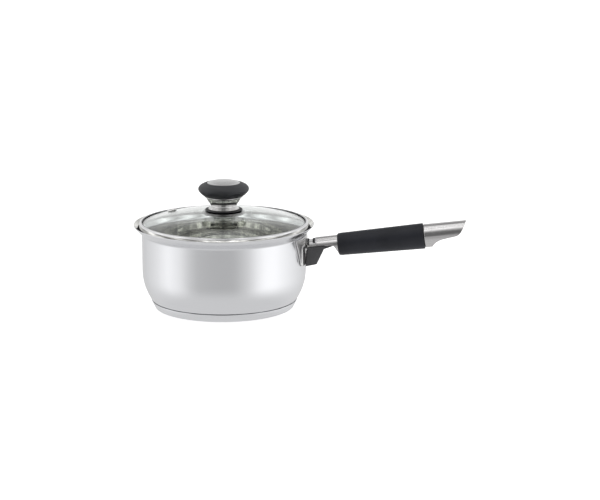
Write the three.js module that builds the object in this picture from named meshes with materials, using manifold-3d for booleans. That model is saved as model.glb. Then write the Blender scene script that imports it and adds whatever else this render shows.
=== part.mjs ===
// A 16 cm stainless steel saucepan with a glass lid and a long tube handle.
// Units are millimetres. +Z is up and +X points along the handle.
// The origin is the centre of the underside of the base, where the pan stands.

import * as THREE from 'three';
import Module from 'manifold-3d';
import { mergeVertices } from 'three/addons/utils/BufferGeometryUtils.js';

const wasm = await Module();
wasm.setup();

// Driving dimensions.
const GAP = 0.3; // clearance between neighbouring pieces
const PAN_RADIUS = 79.7; // inside of the straight wall
const WALL = 0.8; // sheet of the pan
const FLOOR_TOP = 5.1; // inside of the pan's floor above the table
const BELLY_RADIUS = 50.4; // curve of the lower wall
const BELLY_TOP = 37.3; // height where the wall turns straight
const CORNER_RADIUS = 9.6; // curve between the floor and the lower wall
const FLARE_START = 72.8; // height where the pouring lip begins
const FLARE_BEND = 3; // radius of the bend into the lip
const FLARE_ANGLE = 44; // lean of the lip from upright, in degrees
const LIP_RADIUS = 88.4; // outer edge of the lip

const BASE_SHEET = 0.5; // stainless cap under the base
const BASE_CAP_HEIGHT = 7.9;
const BASE_FLAT_RADIUS = 67;

const DOME_RADIUS = 262; // sphere of the glass
const DOME_TOP = 96.5;
const GLASS = 3.6; // glass thickness
const GLASS_RADIUS = 81.8;
const KNOB_HOLE = 5;
const BAND_SHEET = 0.6;
const BAND_RADIUS = 83; // outside of the lid's steel band
const BAND_SKIRT_BOTTOM = 69.5;
const VENT_RADIUS = 58; // distance of the steam vent from the lid's centre
const VENT_ANGLE = 160; // direction of the steam vent from +X, in degrees
const VENT_HOLE = 4;

const KNOB_BOTTOM = 97.4; // underside of the knob's steel foot
const KNOB_RING_BOTTOM = 110.8;
const KNOB_CAP_TOP = 126.1;
const SCREW_SHANK = 2.2;

const HANDLE_SLOPE = 7; // degrees above level
const HANDLE_AXIS = new THREE.Vector2(82, 60.5); // X and Z of a point on the tube's axis
const SEAT_RADIUS = 9.4; // outer radius of the tube at the front of the grip
const TAIL_TUBE = 11.4; // outer radius of the tube behind the grip
const TUBE_SHEET = 1;
const TUBE_START = 9; // distances along the tube's axis from HANDLE_AXIS
const GRIP_START = 31;
const GRIP_END = 115.1;
const TUBE_END = 157.1;
const ARM_RADIUS = 7.7;
const ARM_BOTTOM = 1.5; // height of the arm's flat underside above the axis
const ARM_NOSE_START = 38;
const ARM_NOSE_END = 52;
const BOLT_SHANK = 2.2;
const BULKHEAD_START = 76;

const BIG_ROUND = 48; // facets round the pan and lid
const SMALL_ROUND = 28; // facets round the knob and handle

const FINISH = {
  polishedSteel: { color: 0xd2d2d4, roughness: 0.18, metalness: 1 },
  satinSteel: { color: 0xb4b3b4, roughness: 0.34, metalness: 1 },
  aluminium: { color: 0xc2c4c6, roughness: 0.42, metalness: 1 },
  brass: { color: 0xb99a4f, roughness: 0.35, metalness: 1 },
  blackPlastic: { color: 0x1d1d20, roughness: 0.55, metalness: 0 },
  greyPlastic: { color: 0x3a3a3d, roughness: 0.7, metalness: 0 },
  blackRubber: { color: 0x151516, roughness: 0.85, metalness: 0 },
  glass: { color: 0xdfeee8, roughness: 0.03, metalness: 0, transparent: true, opacity: 0.35 },
};

const degrees = THREE.MathUtils.degToRad;

function piece(name, geometry, finish) {
  const mesh = new THREE.Mesh(geometry, new THREE.MeshStandardMaterial(FINISH[finish]));
  mesh.name = name;
  return mesh;
}

function at(x, y) {
  return new THREE.Vector2(x, y);
}

// Points of an arc about (x, y), both ends included, angles in degrees.
function arc(x, y, radius, from, to, steps) {
  const points = [];
  for (let i = 0; i <= steps; i++) {
    const angle = degrees(from + ((to - from) * i) / steps);
    points.push(at(x + radius * Math.cos(angle), y + radius * Math.sin(angle)));
  }
  return points;
}

// The line moved sideways, to its left for a positive distance.
function offsetLine(line, distance) {
  return line.map((point, i) => {
    const before = line[Math.max(i - 1, 0)];
    const after = line[Math.min(i + 1, line.length - 1)];
    const back = point.clone().sub(before).normalize();
    const ahead = after.clone().sub(point).normalize();
    if (i === 0) back.copy(ahead);
    if (i === line.length - 1) ahead.copy(back);
    const along = back.clone().add(ahead).normalize();
    const stretch = 1 / Math.max(along.dot(ahead), 0.5);
    return at(point.x - along.y * distance * stretch, point.y + along.x * distance * stretch);
  });
}

// The closed outline of a bent sheet, given the line through the middle of it.
function sheetOutline(line, thickness) {
  const one = offsetLine(line, -thickness / 2);
  const other = offsetLine(line, thickness / 2).reverse();
  return [...one, ...other];
}

// A turned solid about +Z. The outline runs anticlockwise, with radius as x and height as y.
function turned(outline, facets) {
  const points = outline.slice();
  const onAxis = points[0].x < 1e-6 && points[points.length - 1].x < 1e-6;
  if (!onAxis) points.push(points[0].clone());
  return new THREE.LatheGeometry(points, facets).rotateX(Math.PI / 2);
}

// A turned solid about +X. The outline runs anticlockwise, with radius as x and length as y.
function turnedAlongX(outline, facets) {
  return turned(outline, facets).rotateY(Math.PI / 2);
}

function rod(radius, from, to) {
  return [at(0, from), at(radius, from), at(radius, to), at(0, to)];
}

function washer(inner, outer, from, to) {
  return [at(inner, from), at(outer, from), at(outer, to), at(inner, to)];
}

// A flat outline in X and Z, made solid from Y = -width / 2 to +width / 2.
function slab(shape, width, curveSegments = 6) {
  const geometry = new THREE.ExtrudeGeometry(shape, { depth: width, bevelEnabled: false, curveSegments });
  return geometry.translate(0, 0, -width / 2).rotateX(Math.PI / 2);
}

function toSolid(geometry) {
  const bare = geometry.clone();
  bare.deleteAttribute('normal');
  bare.deleteAttribute('uv');
  const merged = mergeVertices(bare, 1e-4);
  const index = merged.index.array;
  const triangles = [];
  for (let i = 0; i < index.length; i += 3) {
    const [a, b, c] = [index[i], index[i + 1], index[i + 2]];
    if (a !== b && b !== c && c !== a) triangles.push(a, b, c);
  }
  const vertProperties = new Float32Array(merged.attributes.position.array);
  const triVerts = new Uint32Array(triangles);
  return new wasm.Manifold(new wasm.Mesh({ numProp: 3, vertProperties, triVerts }));
}

function toGeometry(solid) {
  const mesh = solid.getMesh();
  const geometry = new THREE.BufferGeometry();
  geometry.setAttribute('position', new THREE.BufferAttribute(new Float32Array(mesh.vertProperties), 3));
  geometry.setIndex(new THREE.BufferAttribute(new Uint32Array(mesh.triVerts), 1));
  return geometry;
}

// Pan -------------------------------------------------------------------------------------------

const wallLine = PAN_RADIUS + WALL / 2;
const flareCentre = at(wallLine + FLARE_BEND, FLARE_START);

// The lip's straight stretch, at a distance inside the middle of the sheet, out to a radius.
function lipPoint(distance, radius) {
  const bend = FLARE_BEND + distance;
  const [start] = arc(flareCentre.x, flareCentre.y, bend, 180 - FLARE_ANGLE, 180, 1);
  return at(radius, start.y + (radius - start.x) / Math.tan(degrees(FLARE_ANGLE)));
}

function panBody() {
  const floor = FLOOR_TOP - WALL / 2;
  const belly = at(wallLine - BELLY_RADIUS, BELLY_TOP);
  const cornerZ = floor + CORNER_RADIUS;
  const cornerR = belly.x + Math.sqrt((BELLY_RADIUS - CORNER_RADIUS) ** 2 - (belly.y - cornerZ) ** 2);
  const turn = THREE.MathUtils.radToDeg(Math.atan2(cornerZ - belly.y, cornerR - belly.x));
  const line = [
    at(0, floor),
    ...arc(cornerR, cornerZ, CORNER_RADIUS, -90, turn, 3),
    ...arc(belly.x, belly.y, BELLY_RADIUS, turn, 0, 6).slice(1),
    ...arc(flareCentre.x, flareCentre.y, FLARE_BEND, 180, 180 - FLARE_ANGLE, 3),
    lipPoint(0, LIP_RADIUS),
  ];
  return turned(sheetOutline(line, WALL), BIG_ROUND);
}

const capBend = 1.6;
const capSide = 26; // lean of the cap's side from upright, in degrees

function baseCap() {
  const bend = arc(BASE_FLAT_RADIUS, BASE_SHEET / 2 + capBend, capBend, -90, -capSide, 3);
  const last = bend[bend.length - 1];
  const edge = at(last.x + (BASE_CAP_HEIGHT - last.y) * Math.tan(degrees(capSide)), BASE_CAP_HEIGHT);
  return turned(sheetOutline([at(0, BASE_SHEET / 2), ...bend, edge], BASE_SHEET), BIG_ROUND);
}

function baseCore() {
  const bottom = BASE_SHEET + GAP;
  const top = FLOOR_TOP - WALL - GAP;
  const outer = BASE_FLAT_RADIUS + 2;
  return turned([at(0, bottom), at(BASE_FLAT_RADIUS, bottom), at(outer, top), at(0, top)], BIG_ROUND);
}

// Handle bracket --------------------------------------------------------------------------------

const plateInner = PAN_RADIUS + WALL + 0.35;
const plateSheet = 1.2;
const plateBottom = 45.5;
const plateTop = 73;
const bossHalfWidth = 11;
const padInnerHalf = 13; // the pad's two strips start this far from the middle
const bossTop = 61.7;

// X of the boss's leaning front face at a height.
function bossFace(height) {
  return 82.35 + (height - 44) * 0.09;
}

// A shield outline in Y and Z, rounded at its lower corners, extruded across the wall along +X.
function shield(topHalfWidth, bottomHalfWidth, bottom, top, corner) {
  const shape = new THREE.Shape();
  shape.moveTo(topHalfWidth, top);
  shape.lineTo(-topHalfWidth, top);
  shape.lineTo(-bottomHalfWidth - 1, bottom + corner);
  shape.quadraticCurveTo(-bottomHalfWidth, bottom, -bottomHalfWidth + corner, bottom);
  shape.lineTo(bottomHalfWidth - corner, bottom);
  shape.quadraticCurveTo(bottomHalfWidth, bottom, bottomHalfWidth + 1, bottom + corner);
  shape.closePath();
  const geometry = new THREE.ExtrudeGeometry(shape, { depth: 40, bevelEnabled: false, curveSegments: 4 });
  return toSolid(geometry.rotateX(Math.PI / 2).rotateZ(Math.PI / 2).translate(60, 0, 0));
}

function wallShell(inner, outer) {
  return toSolid(turned(washer(inner, outer, 40, 80), BIG_ROUND));
}

// The outline of the boss in X and Z from a height up, drawn in by a distance.
function bossOutline(low, inset) {
  const high = bossTop - inset;
  return [at(70, low), at(bossFace(low) - inset, low), at(bossFace(high) - inset, high), at(70, high)];
}

function bossSlab(inset) {
  const shape = new THREE.Shape(bossOutline(plateBottom + 2 + inset, inset));
  return toSolid(slab(shape, 2 * (bossHalfWidth - inset)));
}

function handleBracket() {
  const wall = toSolid(turned(rod(plateInner, 30, 90), BIG_ROUND));
  const plate = wallShell(plateInner, plateInner + plateSheet).intersect(shield(33, 24, plateBottom, plateTop, 6));
  const padShell = wallShell(plateInner, plateInner + plateSheet + 0.5);
  const whole = padShell.intersect(shield(21, 20, plateBottom + 1.5, plateTop - 8, 5));
  const bare = new THREE.Shape([at(70, 40), at(90, 40), at(90, 80), at(70, 80)]);
  const pad = whole.subtract(toSolid(slab(bare, 2 * padInnerHalf)));
  const boss = bossSlab(0).subtract(wall);
  const hollow = bossSlab(plateSheet);
  return toGeometry(plate.add(pad).add(boss).subtract(hollow));
}

// Handle ----------------------------------------------------------------------------------------

// Place of a point of the pan's middle plane, given as X and Z, measured along and above the axis.
function alongHandle(x, z) {
  return at(x, z).sub(HANDLE_AXIS).rotateAround(at(0, 0), -degrees(HANDLE_SLOPE));
}

const seatSlope = 1.3 / (GRIP_END - GRIP_START);

// Outer radius of the tube in front of its tail.
function seatRadius(along) {
  return SEAT_RADIUS + (along - GRIP_START) * seatSlope;
}

function handleTube() {
  const half = TUBE_SHEET / 2;
  const line = [
    at(seatRadius(TUBE_START) - half, TUBE_START),
    at(seatRadius(GRIP_END) - half, GRIP_END + 0.2),
    at(TAIL_TUBE - half, GRIP_END + 1),
    at(TAIL_TUBE - half, TUBE_END),
  ];
  const tube = toSolid(turnedAlongX(sheetOutline(line, TUBE_SHEET), SMALL_ROUND));

  const neckCut = new THREE.Shape();
  neckCut.moveTo(TUBE_START - 5, -20);
  neckCut.lineTo(TUBE_START - 5, ARM_BOTTOM);
  neckCut.lineTo(24, ARM_BOTTOM);
  neckCut.bezierCurveTo(30, ARM_BOTTOM, 28.5, -9, 35.5, -11.5);
  neckCut.lineTo(35.5, -20);

  const tailCut = new THREE.Shape();
  tailCut.moveTo(121, -20);
  tailCut.lineTo(121.6, -12.2);
  tailCut.bezierCurveTo(123.6, -8, 126.5, -4.2, 134.5, -3.1);
  tailCut.lineTo(144, -1.8);
  tailCut.bezierCurveTo(150.4, -1, 151.2, 0.4, TUBE_END + 0.8, 12.2);
  tailCut.lineTo(TUBE_END + 5, 12.2);
  tailCut.lineTo(TUBE_END + 5, -20);

  const cut = toSolid(slab(neckCut, 40, 5)).add(toSolid(slab(tailCut, 40, 5)));
  return toGeometry(tube.subtract(cut));
}

function gripSleeve() {
  const innerStart = seatRadius(GRIP_START) + GAP;
  const innerEnd = seatRadius(GRIP_END) + GAP;
  const outline = [
    at(innerStart, GRIP_START),
    at(innerStart + 0.45, GRIP_START + 0.1),
    at(innerStart + 0.95, GRIP_START + 0.8),
    at(innerStart + 1.2, GRIP_START + 1.6),
    at(innerStart + 1.3, GRIP_START + 2.8),
    at(innerEnd + 1.55, GRIP_END - 1),
    at(innerEnd + 1.1, GRIP_END),
    at(innerEnd, GRIP_END),
  ];
  return turnedAlongX(outline, SMALL_ROUND);
}

// The part of a bar of the given radius, along the axis, that lies above a flat underside.
function archBar(radius, start, end, bottom) {
  const shape = new THREE.Shape();
  shape.moveTo(start, bottom);
  shape.lineTo(end, bottom);
  shape.lineTo(end, 20);
  shape.lineTo(start, 20);
  shape.closePath();
  const bar = toSolid(turnedAlongX(rod(radius, start - 1, end + 1), SMALL_ROUND));
  return bar.intersect(toSolid(slab(shape, 40)));
}

const plateFace = plateInner + plateSheet;
const armStart = alongHandle(plateFace + GAP, HANDLE_AXIS.y + ARM_RADIUS).x + 0.05;

function handleArm() {
  const bar = archBar(ARM_RADIUS, armStart, ARM_NOSE_START + 1, ARM_BOTTOM);
  const nose = toSolid(turnedAlongX(rod(ARM_RADIUS, ARM_NOSE_START, ARM_NOSE_END), SMALL_ROUND));
  const thread = rod(BOLT_SHANK + GAP, ARM_NOSE_START + 1.5, ARM_NOSE_END + 1);
  return toGeometry(bar.add(nose).subtract(toSolid(turnedAlongX(thread, SMALL_ROUND))));
}

const ringOuter = ARM_RADIUS + GAP + 0.6;

function neckRing(start, end, bottom) {
  const outer = archBar(ringOuter, start, end, bottom);
  const inner = archBar(ARM_RADIUS + GAP, start - 1, end + 1, bottom - 1);
  return toGeometry(outer.subtract(inner));
}

function handleBolt() {
  const headStart = BULKHEAD_START + 5.2;
  const outline = [
    at(0, ARM_NOSE_START + 3),
    at(BOLT_SHANK, ARM_NOSE_START + 3),
    at(BOLT_SHANK, headStart),
    at(4.2, headStart),
    at(4.2, headStart + 4),
    at(0, headStart + 4),
  ];
  const bolt = toSolid(turnedAlongX(outline, 24));
  const socket = toSolid(turnedAlongX(rod(2, headStart + 1.6, headStart + 5), 6));
  return toGeometry(bolt.subtract(socket));
}

function bulkhead() {
  const outer = seatRadius(BULKHEAD_START) - TUBE_SHEET - GAP;
  return turnedAlongX(washer(BOLT_SHANK + GAP, outer, BULKHEAD_START, BULKHEAD_START + 3), SMALL_ROUND);
}

function boltWasher() {
  return turnedAlongX(washer(BOLT_SHANK + GAP, 5.2, BULKHEAD_START + 3.6, BULKHEAD_START + 4.7), 24);
}

const guardWidth = 25;
const guardTongueWidth = 15;
const guardTop = ARM_BOTTOM - GAP;

// The heat guard fills the corner between the bracket and the underside of the neck. Its front has
// a recess for the bracket's boss, and its tongue reaches back under the neck to the grip.
function flameGuard() {
  const block = new THREE.Shape([
    alongHandle(81.6, 44),
    alongHandle(92.6, 46.4),
    at(17.2, -2),
    at(18.4, guardTop),
    at(alongHandle(83.9, 62).x, guardTop),
  ]);
  const tongue = new THREE.Shape([at(12, -2.5), at(17.2, -2), at(27, 0.4), at(27, guardTop), at(12, guardTop)]);

  const bossRoom = new THREE.Shape(
    bossOutline(plateBottom - 4, -GAP).map((corner) => alongHandle(corner.x, corner.y)),
  );
  const whole = toSolid(slab(block, guardWidth)).add(toSolid(slab(tongue, guardTongueWidth)));
  return toGeometry(whole.subtract(toSolid(slab(bossRoom, 2 * (bossHalfWidth + GAP)))));
}

// Lid -------------------------------------------------------------------------------------------

const domeCentre = DOME_TOP - DOME_RADIUS;

// Height of a sphere about the dome's centre, above a distance from the lid's axis.
function domeHeight(radius, distance) {
  return domeCentre + Math.sqrt(radius * radius - distance * distance);
}

// The dome's section between two distances from the axis, on a sphere of the given radius.
function domeLine(radius, from, to, steps) {
  const angle = (distance) => THREE.MathUtils.radToDeg(Math.acos(distance / radius));
  return arc(0, domeCentre, radius, angle(from), angle(to), steps);
}

function ventFrame() {
  const frame = new THREE.Group();
  const direction = degrees(VENT_ANGLE);
  const lean = Math.asin(VENT_RADIUS / DOME_RADIUS);
  const height = domeHeight(DOME_RADIUS, VENT_RADIUS);
  frame.position.set(VENT_RADIUS * Math.cos(direction), VENT_RADIUS * Math.sin(direction), height);
  frame.rotation.set(0, lean, direction, 'ZYX');
  return frame;
}

function lidGlass() {
  const inner = DOME_RADIUS - GLASS;
  const edgeMiddle = (domeHeight(DOME_RADIUS, GLASS_RADIUS) + domeHeight(inner, GLASS_RADIUS)) / 2;
  const outline = [
    ...domeLine(inner, KNOB_HOLE, GLASS_RADIUS - 1.6, 6),
    at(GLASS_RADIUS - 0.4, edgeMiddle - 1),
    at(GLASS_RADIUS, edgeMiddle + 0.2),
    at(GLASS_RADIUS - 0.4, edgeMiddle + 1.4),
    ...domeLine(DOME_RADIUS, GLASS_RADIUS - 1.2, KNOB_HOLE, 6),
  ];
  const frame = ventFrame();
  frame.updateMatrixWorld();
  const hole = toSolid(turned(rod(VENT_HOLE, -GLASS - 6, 6), 20).applyMatrix4(frame.matrixWorld));
  return toGeometry(toSolid(turned(outline, BIG_ROUND)).subtract(hole));
}

function lidBand() {
  const wall = BAND_RADIUS - BAND_SHEET / 2;
  const offset = WALL / 2 + BAND_SHEET / 2 + 0.4; // parallel to the middle of the pan's lip
  const topInner = at(79.8, domeHeight(DOME_RADIUS, 79.8) + GAP + BAND_SHEET / 2);
  const corner = lipPoint(offset, wall);
  const line = [
    topInner,
    at(wall - 0.9, topInner.y - 0.3),
    at(wall - 0.2, topInner.y - 0.7),
    at(wall, topInner.y - 1.4),
    at(wall, corner.y + 0.7),
    lipPoint(offset, wall - 0.6),
    ...arc(flareCentre.x, flareCentre.y, FLARE_BEND + offset, 180 - FLARE_ANGLE, 180, 3),
    at(flareCentre.x - FLARE_BEND - offset, BAND_SKIRT_BOTTOM),
  ];
  return turned(sheetOutline(line.reverse(), BAND_SHEET), BIG_ROUND);
}

function ventEyelet() {
  const under = -GLASS - GAP;
  const outline = [
    at(2.2, under - 1.5),
    at(4.6, under - 1.5),
    at(4.6, under - 0.95),
    at(3.6, under - 0.95),
    at(3.6, GAP),
    at(5, GAP),
    at(5.1, GAP + 0.6),
    at(4.5, GAP + 1.5),
    at(3.4, GAP + 1.7),
    at(2.2, GAP + 1.1),
  ];
  return turned(outline, 20);
}

function ventWasher() {
  return turned(washer(3.9, 5.4, -GLASS - GAP - 0.65, -GLASS - GAP), 20);
}

const gasketRadius = 18.4;

function knobGasket() {
  const dome = domeLine(DOME_RADIUS + GAP, 3, gasketRadius, 3);
  return turned([...dome, at(gasketRadius, KNOB_BOTTOM - GAP), at(3, KNOB_BOTTOM - GAP)], SMALL_ROUND);
}

function knobStem() {
  const line = [
    at(15.1, KNOB_BOTTOM + 0.1),
    at(13.4, KNOB_BOTTOM + 0.9),
    at(12.2, KNOB_BOTTOM + 1.6),
    at(11.5, KNOB_BOTTOM + 2.2),
    at(12.2, KNOB_BOTTOM + 3),
    at(12.2, KNOB_BOTTOM + 4),
    at(13.4, KNOB_BOTTOM + 5.6),
    at(15.5, KNOB_BOTTOM + 8.6),
    at(16.6, KNOB_BOTTOM + 10.6),
    at(18.6, KNOB_RING_BOTTOM - GAP - 0.4),
  ];
  return turned(sheetOutline(line, 0.8), SMALL_ROUND);
}

const ringTop = KNOB_RING_BOTTOM + 12.5;
const capSeat = ringTop - 0.8;

// The moulded ring and the post inside the steel stem are one piece.
function knobGrip() {
  const outline = [
    at(0, KNOB_RING_BOTTOM - 0.6),
    at(4.2, KNOB_RING_BOTTOM - 0.6),
    at(4.2, KNOB_BOTTOM + 1.3),
    at(6.8, KNOB_BOTTOM + 1.3),
    at(6.8, KNOB_RING_BOTTOM - 2.6),
    at(9.8, KNOB_RING_BOTTOM),
    at(19.4, KNOB_RING_BOTTOM),
    at(21.4, KNOB_RING_BOTTOM + 1.3),
    at(23.4, KNOB_RING_BOTTOM + 3.3),
    at(24.7, KNOB_RING_BOTTOM + 5.5),
    at(24.6, KNOB_RING_BOTTOM + 8),
    at(22.6, KNOB_RING_BOTTOM + 10.3),
    at(19.6, ringTop - 0.7),
    at(17.6, ringTop),
    at(16.5, ringTop),
    at(16.5, capSeat),
    at(0, capSeat),
  ];
  return turned(outline, 32);
}

function knobCap() {
  const bottom = capSeat + GAP;
  const outline = [
    at(0, bottom),
    at(16.1, bottom),
    at(16.1, ringTop + 0.2),
    at(13, ringTop + 1.3),
    at(8, KNOB_CAP_TOP - 0.5),
    at(0, KNOB_CAP_TOP),
  ];
  return turned(outline, SMALL_ROUND);
}

const underGasketBottom = 90.3;
const underWasherBottom = underGasketBottom - GAP - 1;

function underGasket() {
  const dome = domeLine(DOME_RADIUS - GLASS - GAP, 20.5, 2.8, 3);
  return turned([at(2.8, underGasketBottom), at(20.5, underGasketBottom), ...dome], SMALL_ROUND);
}

function knobScrew() {
  const headTop = underWasherBottom - GAP;
  const outline = [
    at(0, headTop - 2.6),
    at(3.4, headTop - 2.6),
    at(4.6, headTop - 1.6),
    at(4.6, headTop),
    at(SCREW_SHANK, headTop),
    at(SCREW_SHANK, KNOB_RING_BOTTOM - 3.6),
    at(0, KNOB_RING_BOTTOM - 3.6),
  ];
  let screw = toSolid(turned(outline, 24));
  for (const turn of [0, Math.PI / 2]) {
    const slot = new THREE.BoxGeometry(5, 1, 2.6).rotateZ(turn).translate(0, 0, headTop - 2.6);
    screw = screw.subtract(toSolid(slot));
  }
  return toGeometry(screw);
}

// Assembly --------------------------------------------------------------------------------------

const saucepan = new THREE.Group();

const pan = new THREE.Group();
pan.add(piece('pot_body', panBody(), 'polishedSteel'));
pan.add(piece('base_core', baseCore(), 'aluminium'));
pan.add(piece('base_cap', baseCap(), 'polishedSteel'));
pan.add(piece('handle_bracket', handleBracket(), 'polishedSteel'));
saucepan.add(pan);

const handle = new THREE.Group();
handle.position.set(HANDLE_AXIS.x, 0, HANDLE_AXIS.y);
handle.rotation.y = -degrees(HANDLE_SLOPE);
handle.add(piece('handle_arm', handleArm(), 'satinSteel'));
const ringStart = alongHandle(plateFace + GAP, HANDLE_AXIS.y + ringOuter).x + 0.05;
handle.add(piece('neck_ring_front', neckRing(ringStart, ringStart + 1.5, 4), 'blackRubber'));
handle.add(piece('neck_ring_rear', neckRing(TUBE_START - 2.3, TUBE_START - GAP, 5.6), 'blackRubber'));
handle.add(piece('flame_guard', flameGuard(), 'greyPlastic'));
handle.add(piece('handle_tube', handleTube(), 'satinSteel'));
handle.add(piece('grip_sleeve', gripSleeve(), 'blackRubber'));
handle.add(piece('tube_bulkhead', bulkhead(), 'satinSteel'));
handle.add(piece('bolt_washer', boltWasher(), 'satinSteel'));
handle.add(piece('handle_bolt', handleBolt(), 'satinSteel'));
pan.add(handle);

const lid = new THREE.Group();
lid.add(piece('lid_glass', lidGlass(), 'glass'));
lid.add(piece('lid_band', lidBand(), 'polishedSteel'));
lid.add(piece('knob_gasket', knobGasket(), 'blackRubber'));
lid.add(piece('knob_stem', knobStem(), 'polishedSteel'));
lid.add(piece('knob_grip', knobGrip(), 'blackPlastic'));
lid.add(piece('knob_cap', knobCap(), 'satinSteel'));
const insertOutline = washer(SCREW_SHANK + GAP, 3.9, KNOB_BOTTOM + 1.6, KNOB_RING_BOTTOM - 1.1);
lid.add(piece('knob_insert', turned(insertOutline, SMALL_ROUND), 'brass'));
lid.add(piece('under_gasket', underGasket(), 'blackRubber'));
const underWasher = washer(2.8, 15, underWasherBottom, underWasherBottom + 1);
lid.add(piece('under_washer', turned(underWasher, SMALL_ROUND), 'satinSteel'));
lid.add(piece('knob_screw', knobScrew(), 'satinSteel'));
saucepan.add(lid);

const vent = ventFrame();
vent.add(piece('vent_eyelet', ventEyelet(), 'satinSteel'));
vent.add(piece('vent_washer', ventWasher(), 'satinSteel'));
lid.add(vent);

export default saucepan;
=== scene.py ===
"""A 16 cm saucepan with a glass lid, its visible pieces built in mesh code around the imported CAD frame.

Outlines are in millimetres and become metres when a mesh is made. +Z is up and +X runs along the handle.
"""

import math

import bmesh
import bpy
from mathutils import Matrix, Vector


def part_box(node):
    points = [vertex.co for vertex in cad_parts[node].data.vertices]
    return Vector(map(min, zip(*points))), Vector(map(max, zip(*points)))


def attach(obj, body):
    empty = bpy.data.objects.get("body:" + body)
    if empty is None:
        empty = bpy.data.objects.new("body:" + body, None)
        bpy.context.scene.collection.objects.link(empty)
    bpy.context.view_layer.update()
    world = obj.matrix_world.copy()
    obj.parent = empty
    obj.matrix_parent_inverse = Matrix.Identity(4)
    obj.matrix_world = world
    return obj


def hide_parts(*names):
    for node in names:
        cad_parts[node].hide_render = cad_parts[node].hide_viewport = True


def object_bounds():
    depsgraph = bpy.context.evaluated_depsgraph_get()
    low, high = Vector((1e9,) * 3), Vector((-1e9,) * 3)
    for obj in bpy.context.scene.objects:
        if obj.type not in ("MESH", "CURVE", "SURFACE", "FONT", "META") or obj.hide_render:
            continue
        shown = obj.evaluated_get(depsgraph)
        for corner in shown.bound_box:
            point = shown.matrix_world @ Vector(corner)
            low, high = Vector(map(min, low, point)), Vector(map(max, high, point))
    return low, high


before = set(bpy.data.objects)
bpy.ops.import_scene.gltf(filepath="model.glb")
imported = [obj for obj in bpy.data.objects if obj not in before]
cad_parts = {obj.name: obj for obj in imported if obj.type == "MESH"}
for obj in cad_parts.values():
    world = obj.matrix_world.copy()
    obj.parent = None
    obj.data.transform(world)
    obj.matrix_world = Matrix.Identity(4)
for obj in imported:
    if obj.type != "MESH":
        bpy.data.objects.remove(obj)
cad_box = [list(corner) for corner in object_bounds()]

MM = 0.001


def box_mm(node):
    """Lowest and highest corner of a CAD node, in millimetres."""
    low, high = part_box(node)
    return low / MM, high / MM


# Sizes

POT_LOW, POT_HIGH = box_mm("pot_body")
CORE_LOW, CORE_HIGH = box_mm("base_core")
BAND_LOW, BAND_HIGH = box_mm("lid_band")
KNOB_LOW, KNOB_HIGH = box_mm("knob_grip")
SEAL_LOW, SEAL_HIGH = box_mm("under_gasket")
WASHER_LOW, WASHER_HIGH = box_mm("under_washer")
SCREW_LOW, SCREW_HIGH = box_mm("knob_screw")
BRACKET_LOW, BRACKET_HIGH = box_mm("handle_bracket")
BASE_TOP = box_mm("base_cap")[1].z
GLASS_EDGE = box_mm("lid_glass")[1].x
KNOB_TOP = box_mm("knob_cap")[1].z
GASKET_EDGE = box_mm("knob_gasket")[1].x

GAP = 0.3  # clearance between neighbouring pieces
TINY = 1e-6  # lengths and angles below this count as none
SHARP = 35.0  # edges that turn by more degrees than this are kept sharp
PAN_FACETS = 256  # facets round the pan and the lid
BASE_FACETS = 224
KNOB_FACETS = 160
DISC_FACETS = 128
RING_FACETS = 96
BOLT_FACETS = 64

PAN_SHEET = 0.8
WALL_MIDDLE = 80.1  # middle of the straight wall's sheet
BELLY_RADIUS = 50.4
BELLY_TOP = 37.3
CORNER_RADIUS = 9.6
FLARE_START = 72.8
FLARE_BEND = 3.0
FLARE_ANGLE = 44.0  # lean of the pouring lip from upright, in degrees
BASE_SHEET = 0.5
BASE_FLAT_RADIUS = 67.0
BASE_BEND = 1.6
BASE_LEAN = 26.0  # of the cap's side from upright, in degrees
GROOVE_DEPTH = 0.22

DOME_RADIUS = 262.0
GLASS_SHEET = 3.6
KNOB_HOLE = 5.0
BAND_SHEET = 0.6
VENT_RADIUS = 58.0
VENT_ANGLE = 160.0
VENT_HOLE = 4.0

HANDLE_SLOPE = 7.0  # degrees above level
HANDLE_AXIS = (82, 60.5)  # X and Z of a point on the tube's axis
TAIL_TUBE = 11.4
SEAT_START = 9.4
SEAT_END = 10.7
TUBE_SHEET = 1.0
TUBE_START = 9.0
GRIP_START = 31.0
GRIP_END = 115.1
TUBE_END = 157.1
ARM_RADIUS = 7.7
ARM_BOTTOM = 1.5
ARM_START = 1.34
RING_OUTER = 8.6
RING_START = 1.46
BULKHEAD_START = 76.0

HANDLE_FRAME = Matrix.Translation((HANDLE_AXIS[0], 0, HANDLE_AXIS[1])) @ Matrix.Rotation(
    math.radians(-HANDLE_SLOPE), 4, "Y"
)
ALONG_X = Matrix.Rotation(math.radians(90), 4, "Y")


# Outlines


def arc(x, y, radius, start, end, steps):
    """Points of an arc about (x, y), both ends included, angles in degrees."""
    points = []
    for i in range(steps + 1):
        angle = math.radians(start + (end - start) * i / steps)
        points.append((x + radius * math.cos(angle), y + radius * math.sin(angle)))
    return points


def rounded(corners, steps=5):
    """A line through corners given as (x, y, radius), with each corner turned into an arc."""
    points = []
    for i, (x, y, radius) in enumerate(corners):
        if radius <= 0 or i in (0, len(corners) - 1):
            points.append((x, y))
            continue
        here = Vector((x, y))
        back = (Vector(corners[i - 1][:2]) - here).normalized()
        ahead = (Vector(corners[i + 1][:2]) - here).normalized()
        half = back.angle(ahead) / 2
        reach = radius / math.tan(half)
        centre = here + (back + ahead).normalized() * (radius / math.sin(half))
        first = here + back * reach - centre
        last = here + ahead * reach - centre
        turn = math.atan2(first.x * last.y - first.y * last.x, first.dot(last))
        for k in range(steps + 1):
            spoke = first.copy()
            spoke.rotate(Matrix.Rotation(turn * k / steps, 2))
            points.append(tuple(centre + spoke))
    return points


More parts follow.
